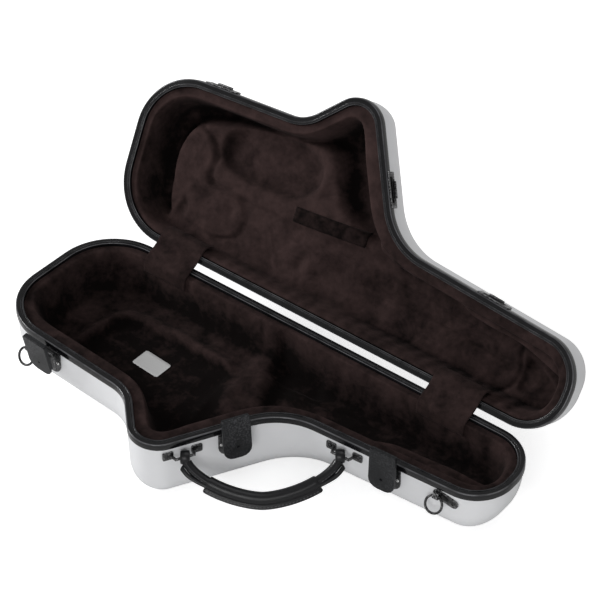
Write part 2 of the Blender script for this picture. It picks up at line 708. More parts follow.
for name, lid in (("base_rim", False), ("lid_rim", True)):
    profile, polish = rim_profile(lid)
    loops = nested_loops(profile[:, :1])
    rim = surface(name + "_extrusion", placed(loops, profile[:, 1:], lid), close_rows=True, sharp=60,
                  tone=polish[:, None] + 0 * loops[..., 0], tone_name="corner_polish")
    finish_piece(rim, "rim_black", "lid" if lid else "base", "rim", name)
print("rim profile points:", len(profile))

# %% [markdown]
# ## The plush linings
#
# Foam is covered in plush, so the hollows are soft: the flange rolls over into a wall, and the wall
# into the floor. The surface is a depth above every plan point. It starts from the softened distance to
# the rim, and then ridges, pads and recesses are added where the horn needs them. Sculpting would give
# the same look, but a depth function can be read and changed.

# %% Distance to the rim
OUTLINE = nested_loops([[0.0]])[0]
SPACING = np.linalg.norm(OUTLINE - np.roll(OUTLINE, 1, axis=0), axis=1)
SPACING = (SPACING + np.roll(SPACING, -1)) / 2
PULL_POWER, LEAST_DISTANCE, POINTS_AT_A_TIME = 8, 0.5 * MM, 3000

# What a straight line without end pulls at distance 1: the sum of 1 / (1 + s ** 2) ** 4 along it
STRAIGHT_LINE_PULL = 5 * math.pi / 16


def smooth(value):
    """0 below 0, 1 above 1 and a smooth rise between."""
    value = np.clip(value, 0, 1)
    return value * value * (3 - 2 * value)


def edge_shares():
    """Each outline point's shares of the edges: one edge on a straight run, and round a corner a smooth
    change from one edge to the next."""
    shares = np.zeros((EDGES, ARC_STEPS + EDGE_STEPS, EDGES))
    way_round = smooth(np.linspace(0, 1, ARC_STEPS))
    for corner in range(EDGES):
        shares[corner, :ARC_STEPS, corner] = way_round
        shares[corner, :ARC_STEPS, corner - 1] = 1 - way_round
        shares[corner, ARC_STEPS:, corner] = 1
    return shares.reshape(-1, EDGES)


EDGE_SHARES = edge_shares()


def rim_distance(plan):
    """Softened distance to the rim's outline and each edge's influence. Every piece of the outline pulls
    with its length over distance to the eighth power; a straight line then gives its true distance, and
    between two lines the valley is rounded."""
    flat = plan.reshape(-1, 2)
    far, influence = [], []
    for part in np.array_split(flat, max(1, len(flat) // POINTS_AT_A_TIME)):
        square = ((part[:, None] - OUTLINE[None]) ** 2).sum(axis=2) + LEAST_DISTANCE ** 2
        pull = SPACING / square ** (PULL_POWER // 2)
        total = pull.sum(axis=1)
        far.append((total / STRAIGHT_LINE_PULL) ** (-1 / (PULL_POWER - 1)))
        influence.append(pull @ EDGE_SHARES / total[:, None])
    influence = np.concatenate(influence).reshape(*plan.shape[:-1], EDGES)
    return np.concatenate(far).reshape(plan.shape[:-1]), influence


print("outline points:", len(OUTLINE))

# %% Masks for ridges and hollows
SHAPE_STEPS, PATH_STEPS, SHAPE_ARC_STEPS = 5, 8, 6


def ramp(value, start, run):
    """0 below a start and 1 after a run beyond it, both in millimetres."""
    return smooth((value - start * MM) / (run * MM))


def path_distance(plan, path):
    """Distance of plan points to an open path of straight pieces."""
    start, step = path[:-1], path[1:] - path[:-1]
    offset = plan[..., None, :] - start
    share = np.clip((offset * step).sum(axis=-1) / (step ** 2).sum(axis=-1), 0, 1)
    return np.linalg.norm(offset - share[..., None] * step, axis=-1).min(axis=-1)


def cubic(before, here, after, beyond, steps):
    """Points from here towards after on the cubic whose slopes are half the neighbours' difference."""
    t = np.linspace(0, 1, steps, endpoint=False)[None, :, None]
    curve = 0.5 * (
        2 * here + (after - before) * t + (2 * before - 5 * here + 4 * after - beyond) * t ** 2
        + (3 * here - before - 3 * after + beyond) * t ** 3
    )
    return curve.reshape(-1, 2)


def shape_distance(plan, corners, radius=None):
    """Signed distance to a closed shape, positive inside: the sign comes from its winding. The shape has
    rounded corners, or without a radius runs smoothly through its points. Both are in millimetres."""
    corners = np.array(corners, float) * MM
    if radius is None:
        loop = cubic(*(np.roll(corners, shift, axis=0)[:, None] for shift in (1, 0, -1, -2)), SHAPE_STEPS)
    else:
        loop = rounded(corners, radius * MM, SHAPE_ARC_STEPS)
    after = np.roll(loop, -1, axis=0)
    away = path_distance(plan, np.concatenate([loop, loop[:1]]))
    first, second = loop - plan[..., None, :], after - plan[..., None, :]
    cross = first[..., 0] * second[..., 1] - first[..., 1] * second[..., 0]
    winding = np.arctan2(cross, (first * second).sum(axis=-1)).sum(axis=-1)
    return np.where(np.abs(winding) > math.pi, away, -away)


def curve_through(points, steps=PATH_STEPS):
    """A smooth open path through points given in millimetres."""
    points = np.array(points, float) * MM
    padded = np.concatenate([2 * points[:1] - points[1:2], points, 2 * points[-1:] - points[-2:-1]])
    parts = (padded[i:len(points) - 1 + i, None] for i in range(4))
    return np.concatenate([cubic(*parts, steps), points[-1:]])


def raised(depth, mask, level):
    """Brings what lies deeper than a level (millimetres) up to it, where the mask is 1."""
    return depth - mask * np.maximum(depth - level * MM, 0)


def sunk(depth, mask, level):
    """Takes what lies higher than a level (millimetres) down to it, where the mask is 1."""
    return depth + mask * np.maximum(level * MM - depth, 0)


def edge_mask(distance, width):
    """1 inside an edge and 0 outside, over a band of a width (millimetres) about it."""
    return smooth(distance / (width * MM) + 0.5)


def inside(plan, shape, width, radius=None):
    """1 inside a closed shape and 0 outside, over a band of a width (millimetres) about its edge."""
    return edge_mask(shape_distance(plan, shape, radius), width)


def groove(plan, path, width):
    """1 on a path and 0 beyond half the width (millimetres) from it."""
    return smooth(1 - path_distance(plan, curve_through(path)) / (width * MM / 2))


def creased(depth, plan, path, width, fall):
    """Presses a groove of a width and a depth (millimetres) along a path."""
    return depth + fall * MM * groove(plan, path, width)


# %% Lining profile
FLANGE_DROP, FLANGE_ROLL = 4 * MM, 3 * MM
FLANGE_WIDTH, WALL_RUN = 10 * MM, 15 * MM
BASE_FLOOR, LID_FLOOR = 62 * MM, 55 * MM
BASE_FLANGE = np.array([0.9, 1.6, 1.4, 1.5, 1.1, 1.0, 0.7]) * FLANGE_WIDTH
BASE_RUN = np.array([2.0, 1.5, 1.1, 0.9, 1.1, 2.6, 0.8]) * WALL_RUN
LID_FLANGE = np.array([0.6, 1.0, 0.9, 1.7, 1.0, 0.9, 0.3]) * FLANGE_WIDTH
LID_RUN = np.array([0.75, 0.8, 0.7, 0.8, 0.8, 1.3, 1.7]) * WALL_RUN
CAVITY_CURVE, PROFILE_SOFTNESS = 1.6, 0.10
CURVE_START, CURVE_END, CURVE_STEPS = -1, 2.5, 400


def wall_curve():
    """How far down the wall is at ways across it, 0 at the flange and 1 at the floor: a steep quarter
    wave, softened by a bell-shaped mean."""
    ways = np.linspace(CURVE_START, CURVE_END, round((CURVE_END - CURVE_START) * CURVE_STEPS) + 1)
    steep = np.sin(math.pi / 2 * np.clip(ways, 0, 1) ** (1 / CAVITY_CURVE))
    reach = np.linspace(-0.5, 0.5, CURVE_STEPS + 1)
    weight = np.exp(-reach ** 2 / (2 * PROFILE_SOFTNESS ** 2))
    padded = np.pad(steep, CURVE_STEPS // 2, mode="edge")
    return ways, np.convolve(padded, weight / weight.sum(), mode="valid")


WALL_CURVE = wall_curve()


def wall_depth(plan, lid):
    """Depth of flange, wall and floor before any pads."""
    far, influence = rim_distance(plan)
    flange = BESIDE_LEG + influence @ (LID_FLANGE if lid else BASE_FLANGE)
    run = influence @ (LID_RUN if lid else BASE_RUN)
    across = (far - flange - FLANGE_ROLL) / run
    floor = LID_FLOOR if lid else BASE_FLOOR
    return FLANGE_DROP + (floor - FLANGE_DROP) * np.interp(across, *WALL_CURVE)


print("points on the wall's curve:", len(WALL_CURVE[0]))

# %% [markdown]
# ## What the hollows hold
#
# In the base, a ridge runs round a lower floor and carries the bell and the body, a nub stands beside the
# handle corner, a pocket lies behind it and a wavy shelf supports the neck. In the lid, a plateau with an
# oval hollow clears the keys, and steep trenches run beside it. Each shape is a closed curve with a level
# that the plush is raised or sunk to, and seams are narrow grooves.

# %% Base forms
# A shape is its points (u, v), the width of its edge and, where its corners are round, their radius. A
# seam is its path, its width and its depth. Levels are depths. All of them are in millimetres.
LOWER_FLOOR = (
    ((84, 172), (82, 130), (85, 96), (93, 74), (112, 67), (180, 66), (238, 67), (248, 82), (250, 130),
     (252, 200), (180, 200)), 7,
)
RIDGE = ((78, 158), (77, 120), (81, 92), (89, 72), (106, 61), (150, 58), (200, 59), (252, 62)), 22
NUB = ((256, 22), (284, 20), (296, 56), (322, 100), (302, 124), (268, 116), (258, 80)), 26
NUB_TOP, NUB_TOP_SQUASH, NUB_TOP_RADIUS, NUB_TOP_HEIGHT = (270, 94), (1.0, 0.8), 16, 4
POCKET = ((282, 17), (348, 20), (358, 43), (286, 44)), 6, 5
BASE_SEAMS = (
    (((286, 50), (330, 50), (378, 47)), 5, 2.4),
    (((400, 40), (470, 38), (560, 34)), 9, 1.2),
)
UPPER_LEVEL, NUB_LEVEL, NARROW_LEVEL, POCKET_LEVEL = 53, 49, 57.5, 63
BELL_SIDE_END, BELL_SIDE_FADE, RIDGE_HEIGHT = 262, 24, 4.5


def base_depth(plan):
    """Depth of the base's plush."""
    u = plan[..., 0]
    depth = wall_depth(plan, False)
    upper = 1 - inside(plan, *LOWER_FLOOR)
    bell_side = smooth((BELL_SIDE_END * MM - u) / (BELL_SIDE_FADE * MM))
    depth = raised(depth, upper * bell_side, UPPER_LEVEL)
    depth -= RIDGE_HEIGHT * MM * groove(plan, *RIDGE) * ramp(depth, 30, 20)

    depth = raised(depth, inside(plan, *NUB), NUB_LEVEL)
    from_top = np.linalg.norm((plan - np.array(NUB_TOP) * MM) / NUB_TOP_SQUASH, axis=-1)
    depth -= NUB_TOP_HEIGHT * MM * smooth(1 - from_top / (NUB_TOP_RADIUS * MM))

    depth = raised(depth, ramp(u, 296, 44), NARROW_LEVEL)
    depth = sunk(depth, inside(plan, *POCKET), POCKET_LEVEL)
    for seam in BASE_SEAMS:
        depth = creased(depth, plan, *seam)
    return depth


# %% Lid forms
PLATEAU = (
    ((76, 10), (62, 36), (52, 62), (49, 100), (51, 134), (66, 150), (100, 161), (150, 172), (195, 184),
     (226, 190), (244, 187), (257, 170), (268, 142), (288, 124), (326, 114), (372, 112), (372, 10),
     (220, -10)), 15,
)
LEFT_LOBE = (
    ((74, 56), (56, 76), (49, 102), (54, 130), (67, 140), (86, 134), (97, 116), (97, 98), (103, 82),
     (92, 62)), 6,
)
LEFT_LOBE_SEAM = ((66, 144), (88, 137), (101, 117), (101, 98), (108, 86)), 7, 3.2
SECOND_LOBE = (
    ((72, 44), (94, 35), (130, 32), (153, 38), (163, 56), (161, 71), (149, 82), (118, 84), (92, 80)), 6,
)
SECOND_LOBE_SEAM = ((140, 32), (160, 42), (167, 60), (161, 76), (148, 86)), 6, 3.2
OVAL_HOLLOW = (
    ((103, 136), (108, 120), (124, 112), (165, 111), (206, 114), (228, 126), (236, 146), (229, 165),
     (206, 175), (165, 173), (126, 167), (108, 154)), 10,
)
BAND_RIDGE = (
    ((98, 104), (112, 92), (160, 89), (225, 90), (300, 94), (345, 101), (320, 114), (280, 113),
     (220, 109), (150, 108), (110, 116)), 5,
)
BAND_RIDGE_SEAM = ((106, 92), (130, 86), (220, 86), (300, 90), (350, 97)), 5, 2.8
NECK_CHANNEL = ((330, 66), (430, 62), (540, 52)), 34
NECK_SEAMS = (
    (((345, 60), (430, 59), (530, 54)), 6, 2.0),
    (((340, 78), (420, 76), (520, 68)), 6, 2.0),
    (((538, 18), (550, 32), (553, 50), (546, 76)), 8, 4.0),
)
CHEEK = ((560, 32), (590, 38), (603, 48), (590, 58), (560, 68)), 7
SLIT = ((248, 42), (253, 42), (253, 56), (248, 56)), 3, 1.5
SQUARE_PATCH = ((254, 42), (268, 42), (268, 57), (254, 57)), 4, 3

# Middle, size and depth of each dent
DENTS = (
    ((102, 73), (19, 6), 4), ((144, 68), (7, 5), 3.5), ((82, 46), (9, 13), 6), ((300, 61), (6, 6), 3),
    ((251, 139), (12, 11), 4),
)
TRENCH_LEVEL, PLATEAU_LEVEL, PLATEAU_FALL = 58, 31, 15
LEFT_LOBE_LEVEL, SECOND_LOBE_LEVEL, OVAL_LEVEL = 27, 27.5, 43
NECK_LEVEL, NECK_FLOOR_LEVEL, CHEEK_LEVEL = 47, 48, 54
BAND_RIDGE_HEIGHT, NECK_CHANNEL_DEPTH, SLIT_DEPTH, SQUARE_PATCH_HEIGHT = 2.2, 4, 5, 1.5


def lid_depth(plan):
    """Depth of the lid's plush."""
    u = plan[..., 0]
    depth = wall_depth(plan, True)
    depth = sunk(depth, ramp(depth, 40, 14), TRENCH_LEVEL)
    depth = raised(depth, inside(plan, *PLATEAU), PLATEAU_LEVEL + PLATEAU_FALL * ramp(u, 232, 130))
    depth = raised(depth, inside(plan, *LEFT_LOBE), LEFT_LOBE_LEVEL)
    depth = creased(depth, plan, *LEFT_LOBE_SEAM)
    depth = raised(depth, inside(plan, *SECOND_LOBE), SECOND_LOBE_LEVEL)
    depth = creased(depth, plan, *SECOND_LOBE_SEAM)
    for centre, size, fall in DENTS:
        away = np.linalg.norm((plan - np.array(centre) * MM) / (np.array(size) * MM), axis=-1)
        depth += fall * MM * smooth(1.2 - away)

    depth = sunk(depth, inside(plan, *OVAL_HOLLOW), OVAL_LEVEL)
    depth = depth - BAND_RIDGE_HEIGHT * MM * inside(plan, *BAND_RIDGE)
    depth = creased(depth, plan, *BAND_RIDGE_SEAM)

    narrow = ramp(u, 300, 90)
    depth = sunk(depth, narrow * ramp(depth, 20, 10), NECK_LEVEL)
    depth = raised(depth, ramp(u, 360, 30), NECK_FLOOR_LEVEL)
    depth += NECK_CHANNEL_DEPTH * MM * groove(plan, *NECK_CHANNEL) * narrow
    for seam in NECK_SEAMS:
        depth = creased(depth, plan, *seam)
    depth = sunk(depth, inside(plan, *CHEEK), CHEEK_LEVEL)
    depth += SLIT_DEPTH * MM * inside(plan, *SLIT)
    return depth - SQUARE_PATCH_HEIGHT * MM * inside(plan, *SQUARE_PATCH)


# %% Wavy shelves
# Points of the shelf's wavy edge, where along u it starts to rise, and over what run
BASE_SHELF = (
    ((300, 190), (338, 136), (368, 112), (399, 105), (438, 103), (463, 92), (490, 80), (527, 76),
     (581, 70), (622, 64), (680, 58)), 340, 40,
)
LID_SHELF = (
    ((290, 170), (312, 134), (329, 118), (361, 104), (393, 99), (411, 99), (438, 104), (457, 103),
     (479, 90), (511, 86), (557, 84), (616, 70), (680, 60)), 322, 30,
)
SHELF_EDGE = 5


def shelf_mask(plan, edge, start, run):
    """The shelf along the front of the narrow end, 1 on it and 0 behind its wavy edge."""
    edge = curve_through(edge)
    front = np.interp(plan[..., 0], edge[:, 0], edge[:, 1])
    return edge_mask(plan[..., 1] - front, SHELF_EDGE) * ramp(plan[..., 0], start, run)


print("points on the shelves' edges:", len(BASE_SHELF[0]), len(LID_SHELF[0]))

# %% [markdown]
# The grid's columns run from the hinge side to the front, and its rows end on the rim's leg, so the edge
# of the plush follows the rim exactly. Slow and quick waves keep the foam from looking machined.

# %% The plate's bed
PLATE_SIZE = np.array([39, 26]) * MM
PLATE_PLACE = np.array([0.253 * LENGTH, 0.407 * WIDTH])
PLATE_TURN = math.radians(5)
BED_MARGIN, UNDER_PLATE = 3 * MM, 0.2 * MM


def plate_bed():
    """Depth of the plush under the plate, a little below its underside."""
    return BASE_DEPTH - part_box("label_plate")[0][2] + UNDER_PLATE


def bed_mask(plan):
    """1 under the plate, fading out over its margin."""
    cos, sin = math.cos(PLATE_TURN), math.sin(PLATE_TURN)
    beside = np.abs((plan - PLATE_PLACE) @ np.array([(cos, -sin), (sin, cos)]))
    return smooth(((PLATE_SIZE / 2 + BED_MARGIN * 2 - beside) / BED_MARGIN).min(axis=-1))


# %% Lining surfaces
COLUMNS, ROWS = 300, 138
END_CROWDING, SIDE_CROWDING = 0.75, 0.45
LINER_THICKNESS, SHELF_DROP, SHELF_END_DROP = 2.5 * MM, 9 * MM, 8 * MM
SMOOTHING_ROUNDS, SURROUNDINGS_ROUNDS, HOLLOW_SCALE = 3, 90, 9 * MM
WAVE_COUNT, WAVE_SPREAD, WAVE_GAIN = 40, (0.6, 1.8), 3.4

# Wavelength, height and seed of each set of waves
FOAM_WAVES = ((46 * MM, 1.1 * MM, 3), (13 * MM, 0.45 * MM, 7))
TONE_WAVES = ((60 * MM, 0.10, 21), (21 * MM, 0.08, 31))


def crowded(count, amount):
    """Shares from 0 to 1 that lie closer together at both ends."""
    share = np.linspace(0, 1, count)
    return share - amount * np.sin(2 * math.pi * share) / (2 * math.pi)


def lining_plan(inset):
    """Plan points (column, row, uv) that fill the outline at an inset."""
    loop = nested_loops([[inset]])[0]
    left, right = loop[:, 0].argmin(), loop[:, 0].argmax()
    ring = np.roll(loop, -left, axis=0)
    split = (right - left) % len(loop)
    front, rear = ring[:split + 1], np.concatenate([ring[split:], ring[:1]])[::-1]
    u = loop[left, 0] + (loop[right, 0] - loop[left, 0]) * crowded(COLUMNS, END_CROWDING)
    low = np.interp(u, rear[:, 0], rear[:, 1])
    high = np.interp(u, front[:, 0], front[:, 1])
    v = low[:, None] + (high - low)[:, None] * crowded(ROWS, SIDE_CROWDING)
    return np.stack([u[:, None] + 0 * v, v], axis=-1)


def waves(plan, scale, seed):
    """Smooth random unevenness, mostly between -1 and 1: a sum of sines in random directions."""
    chance = np.random.default_rng(seed)
    angle, phase = chance.uniform(0, 2 * math.pi, (2, WAVE_COUNT))
    size = scale * chance.uniform(*WAVE_SPREAD, WAVE_COUNT)
    along = plan[..., 0, None] * np.cos(angle) + plan[..., 1, None] * np.sin(angle)
    return np.sin(along * 2 * math.pi / size + phase).mean(axis=-1) * WAVE_GAIN


def unevenness(plan, lid, kinds):
    """Several sets of waves added up. The lid's seeds differ from the base's."""
    return sum(height * waves(plan, scale, seed + lid) for scale, height, seed in kinds)


def relaxed(values, times):
    """A grid with every inner point moved halfway to the mean of its four neighbours, again and again."""
    values = values.copy()
    for _ in range(times):
        mean = (values[:-2, 1:-1] + values[2:, 1:-1] + values[1:-1, :-2] + values[1:-1, 2:]) / 4
        values[1:-1, 1:-1] += (mean - values[1:-1, 1:-1]) / 2
    return values


def pile_tone(plan, depth, lid):
    """How light the pile looks. Crests are light and hollows dark, by the depth less its surroundings'
    mean. A slope that faces the narrow end shows its pile end-on and is dark, and so is the deep floor."""
    u = plan[..., 0]
    hollow = np.clip((depth - relaxed(depth, SURROUNDINGS_ROUNDS)) / HOLLOW_SCALE, -0.5, 1.1)
    fall = np.gradient(depth, axis=0) / np.gradient(u, axis=0)
    steep = np.clip(np.nan_to_num(fall), -0.8, 1.6)
    if lid:
        far_end = ramp(u, 280, 120)
        trench = ramp(depth, 44, 10) * (1 - far_end) * (1 - 0.6 * ramp(u, 200, 50))
        level = 0.60 - 0.18 * far_end - 0.42 * trench - 0.20 * steep
    else:
        level = 0.35 - 0.09 * ramp(depth, 8, 20) - 0.22 * ramp(depth, 53.5, 5) - 0.06 * steep
    return np.clip(level - 0.30 * hollow + unevenness(plan, lid, TONE_WAVES), 0, 1)


def soft_surface(name, grid, thickness, offset, tone=None):
    """An open surface with a thickness, laid behind it or about its middle."""
    piece = surface(name, grid, close_columns=False, caps=False, sharp=180, tone=tone)
    thick = piece.modifiers.new("thickness", "SOLIDIFY")
    thick.thickness, thick.offset = thickness, offset
    return piece


def make_lining(name, lid, depth_at, *nodes):
    """A plush surface from a depth function, with a thin back."""
    plan = lining_plan(BESIDE_LEG)
    depth = depth_at(plan)
    shelf = FLANGE_DROP + SHELF_DROP
    if not lid:
        shelf = shelf + SHELF_END_DROP * ramp(plan[..., 0], 560, 60)
    mask = shelf_mask(plan, *(LID_SHELF if lid else BASE_SHELF))
    depth = np.where(depth > shelf, depth + (shelf - depth) * mask, depth)
    depth = relaxed(depth, SMOOTHING_ROUNDS)
    depth = depth + ramp(depth - FLANGE_DROP, 0, 20) * unevenness(plan, lid, FOAM_WAVES)
    if not lid:
        depth += (plate_bed() - depth) * bed_mask(plan)
    tone = pile_tone(plan, depth, lid)
    piece = soft_surface(name, placed(plan, depth, lid), LINER_THICKNESS, -1, tone)
    normals = np.zeros(3 * len(piece.data.polygons))
    piece.data.polygons.foreach_get("normal", normals)
    out = opened_way((0, 0, -1)) if lid else np.array([0, 0, 1])
    if normals.reshape(-1, 3).mean(axis=0) @ out < 0:
        piece.data.flip_normals()
    finish_piece(piece, "plush", "lid" if lid else "base", "plush", *nodes)
    print(name, "depth from", round(depth.min() / MM, 1), "to", round(depth.max() / MM, 1), "mm")


make_lining("base_plush", False, base_depth, "base_lining", "bell_saddle", "body_block")
make_lining("lid_plush", True, lid_depth, "lid_lining", "lid_bell_pad", "lid_neck_cheek")

# %% [markdown]
# ## Flaps over the hinges, and the strap
#
# A plush flap is sewn over each hinge from one lining to the other. It is a strip with a path and a width.
# When the lid closes it folds, so its points follow the base at one end, the lid at the other, and turn
# smoothly between.

# %% Flaps
HINGE_U = (0.180 * LENGTH, 0.798 * LENGTH)
FLAP_WIDTHS = (60 * MM, 66 * MM)
FLAP_THICKNESS, FLAP_TAIL, FLAP_RISE = 1.2 * MM, 12 * MM, 4.2 * MM
FLAP_COLUMNS, FLAP_PATH_STEPS = 40, 5
WALL_AT_TAIL = 0.35

# Height, scale and phase of each ripple across a flap
FLAP_RIPPLES = ((0.25 * MM, 9 * MM, 0), (0.15 * MM, 4 * MM, 1))


def flap_path():
    """The flap's middle line as (v, z) about the hinge, on the base's side and mirrored on the lid's. Its
    tail lies on the lining's wall, whose lean it takes."""
    top, floor = FLANGE_DROP + FLANGE_ROLL, BASE_FLOOR
    start = BESIDE_LEG + BASE_FLANGE[BACK] + FLANGE_ROLL
    steep = (floor - top) * math.sin(WALL_AT_TAIL * math.pi / 2)
    lean = BASE_RUN[BACK] * WALL_AT_TAIL ** CAVITY_CURVE / steep
    clear = SOFT_GAP + FLAP_THICKNESS / 2
    path = np.array([
        (start + lean * FLAP_TAIL + clear, -top - FLAP_TAIL), (start + clear, -top),
        (start - FLANGE_ROLL, -FLANGE_DROP / 4), (BAND_WALL + BEAD_SETBACK, clear + FLANGE_DROP / 3),
        (BAND_WALL, FLAP_RISE),
    ]) - (-HINGE_SETBACK, GAP / 2)
    cos, sin = math.cos(LID_OPEN), math.sin(LID_OPEN)
    mirrored = [path[:, 0] * cos + path[:, 1] * sin, path[:, 0] * sin - path[:, 1] * cos]
    other = np.stack(mirrored, axis=1)[::-1]
    return curve_through(np.concatenate([path, other]) / MM, FLAP_PATH_STEPS)


for number, (centre_u, width) in enumerate(zip(HINGE_U, FLAP_WIDTHS), 1):
    path = flap_path()
    along = np.gradient(path, axis=0)
    along /= np.linalg.norm(along, axis=1, keepdims=True)
    normal = np.stack([-along[:, 1], along[:, 0]], axis=1)
    across = np.linspace(-width / 2, width / 2, FLAP_COLUMNS)
    ripple = sum(height * np.sin(across / scale + phase) for height, scale, phase in FLAP_RIPPLES)
    section = path[:, None] + normal[:, None] * ripple[None, :, None]
    grid = np.stack([
        centre_u - ORIGIN_U + across[None] + 0 * section[..., 0],
        ORIGIN_V + HINGE_SETBACK - section[..., 0],
        BASE_DEPTH + GAP / 2 + section[..., 1],
    ], axis=-1)
    flap = soft_surface(f"plush_flap_{number}", grid, FLAP_THICKNESS, 0)
    finish_piece(flap, "plush", None, "plush", f"hinge_flap_{number}")
    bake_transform(flap)

# %% Strap across the lid
STRAP_CORNERS = np.array([(222, 108), (316, 116), (318, 99), (224, 91)]) * MM
STRAP_STEPS = (44, 18)
BAND_TONE, BAND_THICKNESS, BAND_LIFT, BAND_EDGE_DROP = 0.12, 1.5 * MM, 1.6 * MM, 1.2 * MM
BAND_RIPPLE, BAND_RIPPLES, BAND_ENDS, BAND_SIDES = 0.4 * MM, 5, 12, 6


def make_strap():
    """A flat band over the lid's plush: a four-sided patch whose height follows the plush under it, with
    ripples along it and edges that turn down."""
    s = np.linspace(0, 1, STRAP_STEPS[0])[:, None, None]
    t = np.linspace(0, 1, STRAP_STEPS[1])[None, :, None]
    a, b, c, d = STRAP_CORNERS
    plan = a * (1 - s) * (1 - t) + b * s * (1 - t) + c * s * t + d * (1 - s) * t
    depth = lid_depth(plan) - BAND_LIFT - BAND_RIPPLE * np.cos(s[..., 0] * 2 * math.pi * BAND_RIPPLES)
    edge = np.minimum(np.minimum(s, 1 - s) * BAND_ENDS, np.minimum(t, 1 - t) * BAND_SIDES)[..., 0]
    depth = depth + BAND_EDGE_DROP * (1 - smooth(edge * 2))
    return soft_surface("lid_band", placed(plan, depth, True), BAND_THICKNESS, 0, BAND_TONE + 0 * depth)


finish_piece(make_strap(), "plush", "lid", "plush", "lid_strap")

# %% [markdown]
# ## The bare plate
#
# A thin metal plate with rounded corners is glued to the floor. Its face is crowned by a tenth of a
# millimetre so that the light runs off it, and its edge is broken.

# %% Plate
PLATE_THICKNESS, PLATE_CORNER, PLATE_ARC_STEPS = 0.6 * MM, 3 * MM, 8

# How far in each loop lies, as a share of the plate's width, and how high, as a share of its thickness
PLATE_SHARES, PLATE_LIFTS = (0, 0, 0.02, 0.3, 0.6, 0.85), (0, 0.55, 0.85, 0.92, 0.97, 1.0)


def make_plate():
    """Nested rounded rectangles that rise from the edge to the crown."""
    square = np.array([(-0.5, -0.5), (0.5, -0.5), (0.5, 0.5), (-0.5, 0.5)])
    loops = np.array([
        rounded(square * (PLATE_SIZE - share * PLATE_SIZE[1]), PLATE_CORNER * (1 - share), PLATE_ARC_STEPS)
        for share in PLATE_SHARES
    ])
    cos, sin = math.cos(PLATE_TURN), math.sin(PLATE_TURN)
    plan = PLATE_PLACE + loops @ np.array([(cos, sin), (-sin, cos)])
    lifts = np.array(PLATE_LIFTS) * PLATE_THICKNESS
    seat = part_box("label_plate")[0][2]
    points = placed(plan, BASE_DEPTH - seat - lifts[:, None], False)
    return surface("bare_plate", points, sharp=50)


finish_piece(make_plate(), "plate_metal", "base", "label", "label_plate")

# %% [markdown]
# ## Pressed and bent steel
#
# Latches, catches, hinge leaves and staples are right in shape already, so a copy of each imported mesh
# is merged, its flat faces joined, and its edges broken with a small bevel. Only the rounding is new.

# %% Turned shapes


def square_axes(axis):
    """Two unit vectors square to an axis."""
    axis = np.asarray(axis, float) / np.linalg.norm(axis)
    guess = np.array([0, 0, 1.0]) if abs(axis[2]) < 0.9 else np.array([1.0, 0, 0])
    side = np.cross(axis, guess)
    side /= np.linalg.norm(side)
    return axis, side, np.cross(axis, side)


def turned(name, profile, middle, axis, sides=32):
    """Spins a profile of (radius, height) points about an axis through a middle."""
    axis, side, other = square_axes(axis)
    angle = full_turn(sides)
    spokes = side * np.cos(angle)[:, None] + other * np.sin(angle)[:, None]
    profile = np.asarray(profile, float)
    grid = middle + profile[:, 0, None, None] * spokes + profile[:, 1, None, None] * axis
    return surface(name, grid)


# %% Broken edges
HARDWARE_BREAK, LEVER_BREAK, LEAF_BREAK = 0.35 * MM, 0.7 * MM, 0.25 * MM
FLAT_ANGLE, EDGE_ANGLE = math.radians(1), math.radians(35)


def broken_edges(node, name, width=HARDWARE_BREAK):
    """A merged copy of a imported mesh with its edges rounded."""
    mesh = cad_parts[node].data.copy()
    mesh.name = name
    work = bmesh.new()
    work.from_mesh(mesh)
    bmesh.ops.remove_doubles(work, verts=work.verts, dist=MERGE_DISTANCE)
    bmesh.ops.dissolve_limit(work, angle_limit=FLAT_ANGLE, verts=work.verts, edges=work.edges)
    work.to_mesh(mesh)
    work.free()
    mesh.shade_smooth()
    piece = bpy.data.objects.new(name, mesh)
    bpy.context.scene.collection.objects.link(piece)
    bevel = piece.modifiers.new("break", "BEVEL")
    bevel.width, bevel.segments = width, 2
    bevel.limit_method, bevel.angle_limit = "ANGLE", EDGE_ANGLE
    bevel.use_clamp_overlap = True
    bevel.harden_normals = True
    return piece


def pressed_piece(node, name, body, width=HARDWARE_BREAK):
    """A pressed or bent piece of painted steel."""
    finish_piece(broken_edges(node, name, width), "painted_metal", body, "hardware", node)


DIMPLE_RADIUS, DIMPLE_DEPTH, DIMPLE_RISE = 2.1 * MM, 1.7 * MM, 16.0 * MM
DIMPLE_FOOT_SHARE, DIMPLE_MOUTH_SHARE, DIMPLE_SIDES = 0.7, 1.4, 20
DIMPLE_SHARP = math.radians(38)


